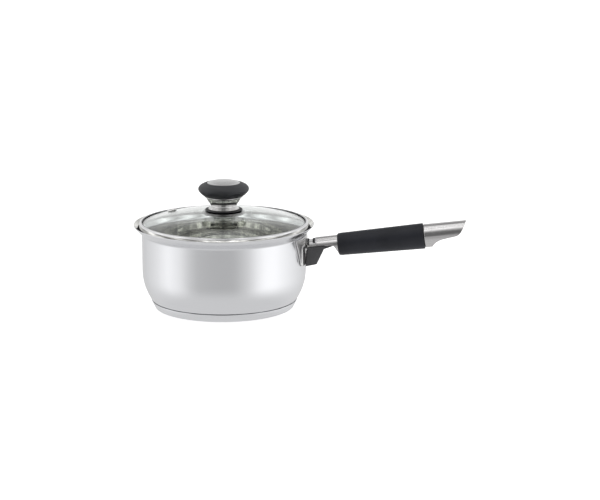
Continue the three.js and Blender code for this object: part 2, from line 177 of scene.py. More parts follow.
def ring_outline(corners, steps=5):
    """A closed outline from corners (x, y, radius), every corner rounded."""
    wrapped = [corners[-1], *corners, corners[0]]
    return rounded(wrapped, steps)[1:-1]


def offset_line(line, distance):
    """The line moved sideways, to its left for a positive distance."""
    moved = []
    for i, point in enumerate(line):
        here = Vector(point)
        back = here - Vector(line[max(i - 1, 0)])
        ahead = Vector(line[min(i + 1, len(line) - 1)]) - here
        if i == 0:
            back = ahead
        if i == len(line) - 1:
            ahead = back
        along = (back.normalized() + ahead.normalized()).normalized()
        stretch = distance / max(along.dot(ahead.normalized()), 0.5)
        moved.append((here.x - along.y * stretch, here.y + along.x * stretch))
    return moved


def sheet_edge(middle, inward, first, thickness):
    """The round edge of a sheet, turning left from its first side to the other."""
    centre = Vector(middle) + (Vector(inward) - Vector(middle)).normalized() * (thickness / 2)
    spoke = Vector(first) - Vector(middle)
    return [tuple(centre + Matrix.Rotation(math.pi * k / 4, 2) @ spoke) for k in range(5)]


def sheet_outline(line, thickness):
    """The outline of a bent sheet given the line through its middle, with rounded free edges."""
    right = offset_line(line, -thickness / 2)
    left = offset_line(line, thickness / 2)
    outline = [*sheet_edge(line[-1], line[-2], right[-1], thickness), *left[-2:0:-1]]
    if line[0][0] < TINY:
        return [*right[:-1], *outline, left[0]]
    return [*right[1:-1], *outline, *sheet_edge(line[0], line[1], left[0], thickness)]


# Meshes


def smooth(mesh, sharp=SHARP):
    """Smooth shading, with edges sharper than an angle in degrees kept sharp."""
    for polygon in mesh.polygons:
        polygon.use_smooth = True
    mesh.set_sharp_from_angle(angle=math.radians(sharp))


def add_object(name, bm, sharp=SHARP):
    """A smooth-shaded object from a bmesh in millimetres."""
    bmesh.ops.remove_doubles(bm, verts=bm.verts, dist=1e-5)
    bmesh.ops.recalc_face_normals(bm, faces=bm.faces)
    bmesh.ops.scale(bm, vec=(MM, MM, MM), verts=bm.verts)
    mesh = bpy.data.meshes.new(name)
    bm.to_mesh(mesh)
    bm.free()
    smooth(mesh, sharp)
    obj = bpy.data.objects.new(name, mesh)
    bpy.context.scene.collection.objects.link(obj)
    return obj


def turned_mesh(bm, outline, facets, place=None):
    """Adds the outline, radius and height, turned once about Z. It closes on the axis or on itself."""
    on_axis = outline[0][0] < TINY and outline[-1][0] < TINY
    columns = []
    for k in range(facets):
        angle = 2 * math.pi * k / facets
        column = [bm.verts.new((r * math.cos(angle), r * math.sin(angle), z)) for r, z in outline]
        columns.append(column)
    count = len(outline)
    for k in range(facets):
        one, other = columns[k], columns[(k + 1) % facets]
        for i in range(count - 1 if on_axis else count):
            j = (i + 1) % count
            corners = [one[i], other[i], other[j], one[j]]
            if outline[i][0] < TINY:
                corners.remove(other[i])
            if outline[j][0] < TINY:
                corners.remove(other[j])
            bm.faces.new(corners)
    made = [vertex for column in columns for vertex in column]
    if place is not None:
        bmesh.ops.transform(bm, matrix=place, verts=made)
    bmesh.ops.remove_doubles(bm, verts=made, dist=1e-5)


def turned(name, outline, facets, place=None):
    """A smooth-shaded object made by turning an outline."""
    bm = bmesh.new()
    turned_mesh(bm, outline, facets, place)
    return add_object(name, bm)


def turned_in_handle(name, outline, facets):
    """A piece turned about the handle's axis, from an outline given as radius and place along it."""
    return turned(name, outline, facets, HANDLE_FRAME @ ALONG_X)


def prism(name, outline, width, place=None):
    """An object made from a flat outline in X and Z, made solid across Y."""
    bm = bmesh.new()
    half = width / 2
    near = [bm.verts.new((x, -half, z)) for x, z in outline]
    far = [bm.verts.new((x, half, z)) for x, z in outline]
    count = len(outline)
    bm.faces.new(near)
    bm.faces.new(far[::-1])
    for i in range(count):
        j = (i + 1) % count
        bm.faces.new((near[j], near[i], far[i], far[j]))
    if place is not None:
        bmesh.ops.transform(bm, matrix=place, verts=near + far)
    return add_object(name, bm)


def apply_modifiers(obj):
    """Replaces the object's mesh by the mesh that its modifiers make."""
    graph = bpy.context.evaluated_depsgraph_get()
    graph.update()
    made = bpy.data.meshes.new_from_object(obj.evaluated_get(graph))
    obj.modifiers.clear()
    obj.data = made


def rounded_edges(obj, width):
    """Rounds the object's sharp edges by a width in millimetres and makes its mesh final."""
    bevel = obj.modifiers.new("bevel", "BEVEL")
    bevel.width = width * MM
    bevel.segments = 3
    bevel.limit_method = "ANGLE"
    bevel.angle_limit = math.radians(50)
    bevel.use_clamp_overlap = True
    apply_modifiers(obj)


def combine(obj, other, operation):
    """Joins the other solid to the object or takes it away, then deletes the other."""
    boolean = obj.modifiers.new("combine", "BOOLEAN")
    boolean.operation = operation
    boolean.solver = "EXACT"
    boolean.object = other
    apply_modifiers(obj)
    bpy.data.objects.remove(other)


# Materials


class Tree:
    """A node tree being put together."""

    def __init__(self, owner):
        owner.use_nodes = True
        self.nodes = owner.node_tree.nodes
        self.links = owner.node_tree.links

    def feed(self, socket, value):
        if isinstance(value, bpy.types.NodeSocket):
            self.links.new(value, socket)
        else:
            socket.default_value = value

    def node(self, kind, **inputs):
        made = self.nodes.new(kind)
        for name, value in inputs.items():
            self.feed(made.inputs[name.replace("_", " ")], value)
        return made

    def math(self, operation, first, second=0):
        made = self.nodes.new("ShaderNodeMath")
        made.operation = operation
        self.feed(made.inputs[0], first)
        self.feed(made.inputs[1], second)
        return made.outputs[0]

    def spread(self, value, low, high, from_low=0.3, from_high=0.7, smooth=False):
        """A value's range spread over low to high, and held there outside it."""
        made = self.nodes.new("ShaderNodeMapRange")
        made.interpolation_type = "SMOOTHSTEP" if smooth else "LINEAR"
        limits = {"From Min": from_low, "From Max": from_high, "To Min": low, "To Max": high}
        for name, number in limits.items():
            made.inputs[name].default_value = number
        self.links.new(value, made.inputs["Value"])
        return made.outputs[0]

    def curve(self, value, stops):
        """Brightness along a value, from stops given as (value, brightness)."""
        first, last = stops[0][0], stops[-1][0]
        ramp = self.nodes.new("ShaderNodeValToRGB")
        self.links.new(self.spread(value, 0, 1, first, last), ramp.inputs[0])
        elements = ramp.color_ramp.elements
        while len(elements) < len(stops):
            elements.new(0.5)
        for element, (where, level) in zip(elements, stops):
            element.position = (where - first) / (last - first)
            element.color = (level / 2, level / 2, level / 2, 1)
        return self.math("MULTIPLY", ramp.outputs[0], 2)

    def between(self, factor, first, second):
        """The first value, or the second where the factor is 1."""
        made = self.nodes.new("ShaderNodeMix")
        self.links.new(factor, made.inputs[0])
        self.feed(made.inputs[2], first)
        self.feed(made.inputs[3], second)
        return made.outputs[0]


class Paint(Tree):
    """A Principled material."""

    def __init__(self, name, colour, roughness, metallic=0):
        self.material = bpy.data.materials.new(name)
        super().__init__(self.material)
        self.shader = self.nodes["Principled BSDF"]
        self.shader.inputs["Base Color"].default_value = (*colour, 1)
        self.shader.inputs["Roughness"].default_value = roughness
        self.shader.inputs["Metallic"].default_value = metallic
        self.place = self.nodes.new("ShaderNodeTexCoord").outputs["Object"]

    def stretched(self, scale, vector=None):
        """Coordinates scaled separately along each axis."""
        mapping = self.nodes.new("ShaderNodeMapping")
        mapping.inputs["Scale"].default_value = scale
        self.links.new(vector or self.place, mapping.inputs["Vector"])
        return mapping.outputs[0]

    def around(self, per_turn, radial, vertical, centre=(0, 0)):
        """Coordinates whose first axis runs round the upright axis, for marks left by turning."""
        parts = self.node("ShaderNodeSeparateXYZ", Vector=self.place)
        x = self.math("SUBTRACT", parts.outputs[0], centre[0])
        y = self.math("SUBTRACT", parts.outputs[1], centre[1])
        angle = self.math("MULTIPLY", self.math("ARCTAN2", y, x), per_turn)
        square = self.math("ADD", self.math("MULTIPLY", x, x), self.math("MULTIPLY", y, y))
        distance = self.math("MULTIPLY", self.math("SQRT", square), radial)
        height = self.math("MULTIPLY", parts.outputs[2], vertical)
        return self.node("ShaderNodeCombineXYZ", X=angle, Y=distance, Z=height).outputs[0]

    def noise(self, vector, scale=1, detail=2):
        made = self.node("ShaderNodeTexNoise", Vector=vector, Scale=scale, Detail=detail)
        return made.outputs[0]

    def mix(self, factor, first, second):
        made = self.nodes.new("ShaderNodeMix")
        made.data_type = "RGBA"
        self.links.new(factor, made.inputs[0])
        made.inputs[6].default_value = (*first, 1)
        made.inputs[7].default_value = (*second, 1)
        return made.outputs[2]

    def shade(self, factor, colour, share):
        """Runs the base colour from a share of the colour to the whole of it."""
        darker = tuple(channel * share for channel in colour)
        self.set("Base Color", self.mix(factor, darker, colour))

    def set(self, name, socket):
        self.links.new(socket, self.shader.inputs[name])

    def bump(self, height, distance, strength=1):
        made = self.node("ShaderNodeBump", Height=height, Distance=distance, Strength=strength)
        self.set("Normal", made.outputs[0])


def turned_steel(name, colour, roughness, centre=(0, 0), grain=1):
    """Polished sheet steel with the faint rings that spinning and polishing leave."""
    paint = Paint(name, colour, roughness, 1)
    rings = paint.noise(paint.around(0.6, 5200, 5200, centre), 1, 3)
    smears = paint.noise(paint.place, 38, 3)
    fine = paint.spread(rings, -0.035 * grain, 0.035 * grain)
    broad = paint.spread(smears, roughness - 0.025, roughness + 0.03)
    paint.set("Roughness", paint.math("ADD", fine, broad))
    paint.shade(paint.spread(rings, 0, 1), colour, 0.955)
    paint.bump(rings, 0.0000018 * grain)
    return paint.material


def drawn_steel(name, colour, roughness):
    """The inside of the pot: a mirror drawn out into faint upright streaks."""
    paint = Paint(name, colour, roughness, 1)
    streaks = paint.noise(paint.around(9, 0, 9), 1, 4)
    fine = paint.noise(paint.around(70, 60, 25), 1, 2)
    paint.set("Roughness", paint.spread(fine, roughness - 0.02, roughness + 0.02))
    paint.shade(paint.spread(streaks, 0, 1, 0.4, 0.6), colour, 0.72)
    paint.bump(streaks, 0.00008)
    return paint.material


def brushed_steel(name, colour, roughness, scale):
    """Satin steel brushed along the axis that has the small scale."""
    paint = Paint(name, colour, roughness, 1)
    slope = paint.nodes.new("ShaderNodeMapping")
    slope.inputs["Rotation"].default_value = (0, math.radians(HANDLE_SLOPE), 0)
    paint.links.new(paint.place, slope.inputs["Vector"])
    strokes = paint.noise(paint.stretched(scale, slope.outputs[0]), 1, 3)
    smears = paint.noise(paint.place, 60, 3)
    fine = paint.spread(strokes, -0.06, 0.06)
    broad = paint.spread(smears, roughness - 0.03, roughness + 0.04)
    paint.set("Roughness", paint.math("ADD", fine, broad))
    paint.shade(paint.spread(strokes, 0, 1), colour, 0.9)
    paint.bump(strokes, 0.000004)
    return paint.material


def moulded(name, colour, roughness, grain, depth, worn=1.6, shine=0.5):
    """Moulded plastic or rubber with a fine grain and slightly paler rubbed patches."""
    paint = Paint(name, colour, roughness)
    paint.shader.inputs["Specular IOR Level"].default_value = shine
    pores = paint.noise(paint.place, grain, 2)
    patches = paint.noise(paint.place, 45, 4)
    paler = tuple(min(channel * worn, 1) for channel in colour)
    paint.set("Base Color", paint.mix(paint.spread(patches, 0, 1, 0.35, 0.8), colour, paler))
    paint.set("Roughness", paint.spread(pores, roughness - 0.06, roughness + 0.06))
    paint.bump(pores, depth)
    return paint.material


def clear_glass(name):
    """Tempered glass with a slight green cast and the faint waviness of pressing."""
    paint = Paint(name, (0.955, 0.985, 0.97), 0)
    paint.shader.inputs["Transmission Weight"].default_value = 1.0
    paint.shader.inputs["IOR"].default_value = 1.5
    waves = paint.noise(paint.place, 26, 1)
    paint.set("Roughness", paint.spread(paint.noise(paint.place, 90, 3), 0, 0.012))
    paint.bump(waves, 0.00005, 0.25)
    return paint.material


def cast_metal(name, colour, roughness):
    """Plain turned or rolled metal of the hidden pieces."""
    paint = Paint(name, colour, roughness, 1)
    marks = paint.noise(paint.place, 900, 3)
    paint.set("Roughness", paint.spread(marks, roughness - 0.08, roughness + 0.08))
    paint.shade(paint.spread(marks, 0, 1), colour, 0.86)
    paint.bump(marks, 0.000006)
    return paint.material


POT_STEEL = turned_steel("pot_steel", (0.775, 0.78, 0.8), 0.2)
POT_INSIDE = drawn_steel("pot_inside", (0.84, 0.835, 0.8), 0.035)
# Near black: painted shade for the gap between the pot's lip and the lid's band.
LIP_GAP_SHADE = moulded("lip_gap_painted_shade", (0.03, 0.03, 0.032), 0.8, 1800, 0.00001, shine=0.1)
# Dark grey: painted shade on the band's inner edge where it meets the glass.
BAND_EDGE_SHADE = moulded("band_edge_painted_shade", (0.16, 0.16, 0.165), 0.5, 1800, 0.00001)
BAND_STEEL = turned_steel("band_steel", (0.82, 0.82, 0.83), 0.09)
KNOB_STEEL = turned_steel("knob_steel", (0.74, 0.735, 0.73), 0.13)
DISC_STEEL = turned_steel("disc_steel", (0.72, 0.72, 0.72), 0.3, grain=2)
BRACKET_STEEL = brushed_steel("bracket_steel", (0.74, 0.735, 0.72), 0.18, (500, 500, 60))
PLATE_STEEL = brushed_steel("plate_steel", (0.88, 0.875, 0.87), 0.33, (500, 500, 60))
TUBE_STEEL = brushed_steel("tube_steel", (0.64, 0.63, 0.63), 0.2, (40, 2600, 2600))
TUBE_INSIDE = brushed_steel("tube_inside", (0.86, 0.86, 0.88), 0.4, (40, 900, 900))
CORE_ALUMINIUM = cast_metal("core_aluminium", (0.77, 0.78, 0.79), 0.4)
INSERT_BRASS = cast_metal("insert_brass", (0.73, 0.56, 0.27), 0.32)
BOLT_STEEL = cast_metal("bolt_steel", (0.6, 0.6, 0.61), 0.3)
KNOB_PLASTIC = moulded("knob_plastic", (0.018, 0.019, 0.022), 0.5, 2600, 0.00001)
GUARD_PLASTIC = moulded("guard_plastic", (0.05, 0.05, 0.053), 0.62, 1800, 0.00002, 1.3)
GRIP_RUBBER = moulded("grip_rubber", (0.012, 0.013, 0.017), 0.45, 2200, 0.00002, shine=0.25)
SEAL_RUBBER = moulded("seal_rubber", (0.012, 0.012, 0.013), 0.55, 2000, 0.00001, 1.4)
LID_GLASS = clear_glass("lid_glass_clear")


def use(obj, material, body, node):
    """Gives the piece its material and its body, and hides the CAD node that it stands for."""
    obj.data.materials.clear()
    obj.data.materials.append(material)
    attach(obj, body)
    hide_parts(node)


# Pan

FLARE_CENTRE = (WALL_MIDDLE + FLARE_BEND, FLARE_START)
LIP_EDGE_ROUND = 0.32  # what the rounded edge of the lip takes off its reach
FLOOR_LIMIT = 12.0  # no outer face below this height faces up
SHADE_RING_EDGE = 85.2  # outer radius of the near-black ring painted in the lip as the shade in the gap under the lid


def lip_height(distance, radius):
    """Height of the lip's straight stretch at a radius, at a distance inside the sheet's middle."""
    start = arc(*FLARE_CENTRE, FLARE_BEND + distance, 180 - FLARE_ANGLE, 180, 1)[0]
    return start[1] + (radius - start[0]) / math.tan(math.radians(FLARE_ANGLE))


def pot_line():
    """The middle of the pot's sheet, from the centre of the floor to the edge of the lip."""
    floor = POT_LOW.z + PAN_SHEET / 2
    belly_r = WALL_MIDDLE - BELLY_RADIUS
    corner_z = floor + CORNER_RADIUS
    corner_r = belly_r + math.sqrt((BELLY_RADIUS - CORNER_RADIUS) ** 2 - (BELLY_TOP - corner_z) ** 2)
    turn = math.degrees(math.atan2(corner_z - BELLY_TOP, corner_r - belly_r))
    edge = POT_HIGH.x - LIP_EDGE_ROUND
    return [
        (0, floor),
        (30, floor),
        *arc(corner_r, corner_z, CORNER_RADIUS, -90, turn, 12),
        *arc(belly_r, BELLY_TOP, BELLY_RADIUS, turn, 0, 40)[1:],
        (WALL_MIDDLE, 50),
        (WALL_MIDDLE, 62),
        *arc(*FLARE_CENTRE, FLARE_BEND, 180, 180 - FLARE_ANGLE, 10),
        # The painted shade ring in the lip ends at this point.
        (SHADE_RING_EDGE - 0.3, lip_height(0, SHADE_RING_EDGE - 0.3)),
        (edge, lip_height(0, edge)),
    ]


def make_pot():
    """The pot, brighter inside, with a near-black ring painted in the lip under the lid as painted shade in
    the gap.
    """
    pot = turned("pot", sheet_outline(pot_line(), PAN_SHEET), PAN_FACETS)
    use(pot, POT_STEEL, "pan", "pot_body")
    pot.data.materials.append(POT_INSIDE)
    pot.data.materials.append(LIP_GAP_SHADE)
    for polygon in pot.data.polygons:
        centre, facing = polygon.center / MM, polygon.normal
        radius = math.hypot(centre.x, centre.y)
        inward = centre.x * facing.x + centre.y * facing.y < -TINY
        on_floor = facing.z > 0.5 and centre.z < FLOOR_LIMIT
        # The lip's inner face under the lid's band gets the painted shade.
        in_painted_shade = inward and centre.z > FLARE_START and radius < SHADE_RING_EDGE
        polygon.material_index = 2 if in_painted_shade else 1 if inward or on_floor else 0


def groove(radius):
    """A shallow ring turned into the underside of the base, as points of the sheet's middle."""
    middle = BASE_SHEET / 2
    floor = middle + GROOVE_DEPTH
    return [(radius - 1.2, middle), (radius - 0.5, floor), (radius + 0.5, floor), (radius + 1.2, middle)]


def make_base():
    middle = BASE_SHEET / 2
    bend = arc(BASE_FLAT_RADIUS, middle + BASE_BEND, BASE_BEND, -90, -BASE_LEAN, 8)
    top = BASE_TOP - 0.12
    last_r, last_z = bend[-1]
    edge = (last_r + (top - last_z) * math.tan(math.radians(BASE_LEAN)), top)
    line = [(0, middle), *groove(22), *groove(44), *bend, edge]
    cap = turned("base_shell", sheet_outline(line, BASE_SHEET), BASE_FACETS)
    use(cap, POT_STEEL, "pan", "base_cap")


def make_base_core():
    inner = BASE_FLAT_RADIUS - 0.4
    corners = [
        (0, CORE_LOW.z + 0.05, 0),
        (inner, CORE_LOW.z + 0.05, 0.5),
        (CORE_HIGH.x - 0.1, CORE_HIGH.z, 0.5),
        (0, CORE_HIGH.z, 0),
    ]
    core = turned("heat_disc", rounded(corners), DISC_FACETS)
    use(core, CORE_ALUMINIUM, "pan", "base_core")


# Bracket

PLATE_RADIUS = WALL_MIDDLE + PAN_SHEET / 2 + 1.55  # outer face of the plate
PLATE_SHEET = 1.2
PLATE_CORNER = 6.0
PLATE_BOTTOM_HALF = 24.0
PLATE_TOP_HALF = 33.0
PAD_HALF = 21.5
PAD_INNER_HALF = 13.0
PAD_RISE = 0.55
PAD_BOTTOM = BRACKET_LOW.z + 1.8
PAD_TOP = BRACKET_HIGH.z - 5.2
BOSS_HALF = 11.0
BOSS_LOW = BRACKET_LOW.z + 2.0
BOSS_TOP = 61.7
BOSS_FOOT = (82.35, 44)  # X and Z of a point on the boss's face
BOSS_LEAN = 0.09  # how far the boss's face runs out for each millimetre up
RELIEF_EDGE = 0.9  # softness of the stamping's edges
PLATE_COLUMNS = 140
PLATE_ROW = 0.45


def smooth_step(value, low, high):
    """0 up to low, 1 from high on, and a smooth rise between them."""
    share = min(max((value - low) / (high - low), 0), 1)
    return share * share * (3 - 2 * share)


def plate_half_width(z):
    """Half of the plate's width at a height: it widens upwards and has round lower corners."""
    corner = PLATE_CORNER
    above = z - BRACKET_LOW.z
    if above < corner:
        return PLATE_BOTTOM_HALF - corner + math.sqrt(corner**2 - (corner - above) ** 2)
    share = (above - corner) / (BRACKET_HIGH.z - BRACKET_LOW.z - corner)
    return PLATE_BOTTOM_HALF + (PLATE_TOP_HALF - PLATE_BOTTOM_HALF) * share


def boss_face(z):
    return BOSS_FOOT[0] + (z - BOSS_FOOT[1]) * BOSS_LEAN


def plate_relief(y, z):
    """How far the stamping stands out from the plain plate, along X."""
    soft = RELIEF_EDGE
    arch = PAD_TOP - 3.2 * (y / PAD_HALF) ** 2
    inside_pad = smooth_step(PAD_HALF - abs(y), -soft, soft) * smooth_step(abs(y) - PAD_INNER_HALF, 0, soft)
    inside_pad *= smooth_step(z - PAD_BOTTOM, -soft, soft) * smooth_step(arch - z, -soft, soft)
    pad = PAD_RISE * inside_pad
    plain = math.sqrt(PLATE_RADIUS**2 - y * y)
    inside_boss = smooth_step(BOSS_HALF - abs(y), -0.9, 0.7)
    inside_boss *= smooth_step(z - BOSS_LOW, -0.5, 1.6) * smooth_step(BOSS_TOP - z, 0, 1.2)
    boss = max(boss_face(z) - plain, pad)
    return pad + (boss - pad) * inside_boss


def spaced(low, high, step):
    """Evenly spaced values from low to high, about a step apart."""
    count = max(round((high - low) / step), 1)
    return [low + (high - low) * i / count for i in range(count + 1)]


def plate_row(bm, z):
    """The vertices of the plate's outer face at a height, from side to side."""
    half = plate_half_width(z)
    row = []
    for i in range(PLATE_COLUMNS + 1):
        y = half * (i / (PLATE_COLUMNS // 2) - 1)
        x = math.sqrt(PLATE_RADIUS**2 - y * y) + plate_relief(y, z)
        row.append(bm.verts.new((x, y, z)))
    return row


def make_bracket():
    bottom, top = BRACKET_LOW.z, BRACKET_HIGH.z
    corner_rows = [bottom + PLATE_CORNER * (1 - math.cos(math.radians(a))) for a in range(0, 90, 8)]
    heights = [*corner_rows, *spaced(bottom + PLATE_CORNER, top, PLATE_ROW)]
    bm = bmesh.new()
    grid = [plate_row(bm, z) for z in heights]
    for low_row, high_row in zip(grid, grid[1:]):
        for i in range(PLATE_COLUMNS):
            bm.faces.new((low_row[i], low_row[i + 1], high_row[i + 1], high_row[i]))
    plate = add_object("handle_plate", bm, 60)
    thickness = plate.modifiers.new("sheet", "SOLIDIFY")
    thickness.thickness = PLATE_SHEET * MM
    thickness.offset = -1
    thickness.use_even_offset = False
    rounded_edges(plate, 0.3)
    smooth(plate.data, 50)
    use(plate, PLATE_STEEL, "pan", "handle_bracket")


# Handle


def bezier(start, first, second, end, steps=24):
    """Points of a cubic curve, both ends included."""
    points = []
    for i in range(steps + 1):
        t = i / steps
        weights = ((1 - t) ** 3, 3 * t * (1 - t) ** 2, 3 * t * t * (1 - t), t**3)
        x = sum(w * p[0] for w, p in zip(weights, (start, first, second, end)))
        y = sum(w * p[1] for w, p in zip(weights, (start, first, second, end)))
        points.append((x, y))
    return points


NECK_CUT = [  # lower edge of the tube's open neck, along the tube and up from its axis
    (0, ARM_BOTTOM),
    *bezier((24, ARM_BOTTOM), (30, ARM_BOTTOM), (28.5, -9), (35.5, -11.5)),
]
TAIL_CUT = [  # lower edge of the tube's open tail
    *bezier((121.6, -12.2), (123.6, -8), (126.5, -4.2), (134.5, -3.1)),
    *bezier((134.5, -3.1), (138, -2.6), (141, -2.2), (144, -1.8), 12)[1:],
    *bezier((144, -1.8), (150.4, -1), (151.2, 0.4), (157.9, 12.2), 40)[1:],
]


def height_on(line, x):
    """Height of a line at x, for a line that always runs towards +x."""
    for (x0, y0), (x1, y1) in zip(line, line[1:]):
        if x0 <= x <= x1:
            return y0 + (y1 - y0) * (x - x0) / max(x1 - x0, 1e-9)
    return None


def seat_radius(along):
    """Outer radius of the tube where the grip sits, which grows towards the tail."""
    return SEAT_START + (along - GRIP_START) * (SEAT_END - SEAT_START) / (GRIP_END - GRIP_START)


def tube_middle(along):
    """Radius of the middle of the tube's sheet."""
    seat = seat_radius(along)
    back = smooth_step(along, GRIP_END + 0.1, GRIP_END + 1.1)
    return seat + (TAIL_TUBE - seat) * back - TUBE_SHEET / 2


def tube_half_angle(along):
    """Half of the arc that is left of the tube, measured from its top. It is pi where it is whole."""
    cut_height = height_on(NECK_CUT, along)
    if cut_height is None:
        cut_height = height_on(TAIL_CUT, along)
    if cut_height is None:
        return math.pi
    return math.acos(min(max(cut_height / tube_middle(along), -1), 1))


TIP_ROUND = 0.08  # what the rounding takes off the tube's far tip
FRONT_ROUND = 0.35  # length over which its front edge is rounded


def tube_tip():
    """Where the tail's cut reaches the top of the tube."""
    along = TUBE_END - TIP_ROUND
    while tube_half_angle(along) < 0.02:
        along -= 0.02
    return along


def tube_stations():
    """Places along the tube where it has a section, close together at its cuts and steps."""
    tip = tube_tip()
    front = [TUBE_START + FRONT_ROUND * d for d in (0, 0.08, 0.3, 0.6, 1)]
    tip_rows = [tip - 1.6 * (i / 12) ** 2 for i in range(12, -1, -1)]
    return [
        *front,
        *spaced(TUBE_START + 1, 23.6, 1.5),
        *spaced(24, 35.7, 0.25),
        *spaced(38, 112, 6),
        *spaced(114, 117, 0.25),
        *spaced(119, 134, 0.25),
        *spaced(134.6, 148, 0.6),
        *spaced(148.3, tip - 1.8, 0.2),
        *tip_rows,
    ]


RIM = 0.4  # how far in from its cut edges the tube's sheet is rounded
RIM_SHARES = (0, 0.1, 0.3, 0.6, 1)  # where the rounding has points, as shares of the rim
TUBE_COLUMNS = 64


def rim_height(share):
    """Height of a quarter circle over a share of its radius, as a share of its full height."""
    return math.sqrt(max(1 - (1 - min(share, 1)) ** 2, 0))


def tube_row(along, slope):
    """The closed section of the tube's sheet at a place along it, as angle and radius."""
    middle = tube_middle(along)
    half = TUBE_SHEET / 2
    whole = tube_half_angle(along)
    closed = whole > math.pi - TINY
    rim = 0.0 if closed else min(RIM / middle / math.cos(math.atan(slope)), whole * 0.4)
    end_share = min(along - TUBE_START, RIM) / RIM
    rise = half * rim_height(end_share)
    flat = [-whole + rim + 2 * (whole - rim) * i / TUBE_COLUMNS for i in range(TUBE_COLUMNS + 1)]
    outer = [(-whole + rim * share, middle + rise * rim_height(share)) for share in RIM_SHARES[:-1]]
    outer += [(angle, middle + rise) for angle in flat]
    outer += [(whole - rim * share, middle + rise * rim_height(share)) for share in RIM_SHARES[-2::-1]]
    inner = [(angle, 2 * middle - radius) for angle, radius in outer[-2:0:-1]]
    return outer + inner, closed


def tube_rows(bm):
    """The vertices of every section of the tube, each with whether the tube is whole there."""
    stations = tube_stations()
    rows = []
    for i, along in enumerate(stations):
        before, after = stations[max(i - 1, 0)], stations[min(i + 1, len(stations) - 1)]
        turn = tube_half_angle(after) - tube_half_angle(before)
        slope = min(abs(turn) * tube_middle(along) / max(after - before, TINY), 6)
        section, closed = tube_row(along, slope)
        row = [bm.verts.new((along, r * math.sin(a), r * math.cos(a))) for a, r in section]
        rows.append((row, closed))
    return rows


def join_tube_rows(bm, rows):
    """Joins the sections, leaving out the rims of the slit where the tube is whole."""
    count = len(rows[0][0])
    rims = len(RIM_SHARES) - 1
    outer_count = (count + 2) // 2
    for (one, one_closed), (other, other_closed) in zip(rows, rows[1:]):
        for k in range(count):
            column = k if k < outer_count - 1 else count - 1 - k
            at_rim = column < rims or column >= outer_count - 1 - rims
            if at_rim and one_closed and other_closed:
                continue
            j = (k + 1) % count
            bm.faces.new((one[k], one[j], other[j], other[k]))


def make_tube():
    """The tube, bright steel outside and duller where its cuts show the inside."""
    bm = bmesh.new()
    rows = tube_rows(bm)
    join_tube_rows(bm, rows)
    bmesh.ops.contextual_create(bm, geom=rows[-1][0])
    bmesh.ops.dissolve_degenerate(bm, dist=TINY, edges=bm.edges)
    bmesh.ops.transform(bm, matrix=HANDLE_FRAME, verts=bm.verts)
    tube = add_object("handle_shell", bm, 50)
    use(tube, TUBE_STEEL, "pan", "handle_tube")
    tube.data.materials.append(TUBE_INSIDE)
    unturn = HANDLE_FRAME.inverted()
    for polygon in tube.data.polygons:
        spoke = unturn @ (polygon.center / MM)
        facing = unturn.to_3x3() @ polygon.normal
        polygon.material_index = 1 if spoke.y * facing.y + spoke.z * facing.z < 0 else 0


def make_grip():
    front, back = seat_radius(GRIP_START) + GAP, seat_radius(GRIP_END) + GAP
    corners = [
        (front, GRIP_START, 0.1),
        (front + 0.5, GRIP_START, 0.4),
        (front + 1.05, GRIP_START + 0.9, 1.2),
        (front + 1.3, GRIP_START + 2.8, 4),
        (back + 1.55, GRIP_END, 0.9),
        (back, GRIP_END, 0.1),
    ]
    grip = turned_in_handle("soft_sleeve", ring_outline(corners, 10), DISC_FACETS)
    use(grip, GRIP_RUBBER, "pan", "grip_sleeve")


def arch(radius, bottom, steps=40):
    """The part of a circle above a height, as points in Y and Z."""
    start = math.degrees(math.asin(bottom / radius))
    return arc(0, 0, radius, start, 180 - start, steps)


def loft(bm, sections):
    """Joins closed sections, each a list of points with the same count, and caps both ends."""
    rings = [[bm.verts.new(point) for point in section] for section in sections]
    count = len(rings[0])
    for one, other in zip(rings, rings[1:]):
        for k in range(count):
            j = (k + 1) % count
            bm.faces.new((one[k], one[j], other[j], other[k]))
    bm.faces.new(rings[0][::-1])
    bm.faces.new(rings[-1])


def bar_in_handle(name, bm, edge):
    """An object from a mesh drawn in the handle's frame, its edges rounded by a width."""
    bmesh.ops.transform(bm, matrix=HANDLE_FRAME, verts=bm.verts)
    bar = add_object(name, bm)
    rounded_edges(bar, edge)
    smooth(bar.data)
    return bar


def make_arm():
    """The bar inside the tube, with a round nose that the bolt screws into."""
    bm = bmesh.new()
    loft(bm, [[(u, y, w) for y, w in arch(ARM_RADIUS, ARM_BOTTOM)] for u in (ARM_START, 40)])
    nose = [(2.5, 39.5), (ARM_RADIUS, 39.5), (ARM_RADIUS, 51.4), (7.1, 52), (2.5, 52)]
    turned_mesh(bm, nose, BOLT_FACETS, ALONG_X)
    arm = bar_in_handle("handle_bar", bm, 0.3)
    use(arm, BRACKET_STEEL, "pan", "handle_arm")


def make_neck_ring(name, node, start, end, bottom):
    """A ring over the arm, open below a height above the handle's axis."""
    outer = arch(RING_OUTER, bottom)
    inner = arch(ARM_RADIUS + GAP, bottom)[::-1]
    bm = bmesh.new()
    loft(bm, [[(u, y, w) for y, w in outer + inner] for u in (start, end)])
    ring = bar_in_handle(name, bm, 0.15)
    use(ring, SEAL_RUBBER, "pan", node)


def handle_point(x, z):
    """A point of the pan's middle plane, measured along and above the handle's axis."""
    place = HANDLE_FRAME.inverted() @ Vector((x, 0, z))
    return place.x, place.z


GUARD_WIDTH = 25.0
GUARD_TONGUE_WIDTH = 15.0
GUARD_TOP = ARM_BOTTOM - GAP


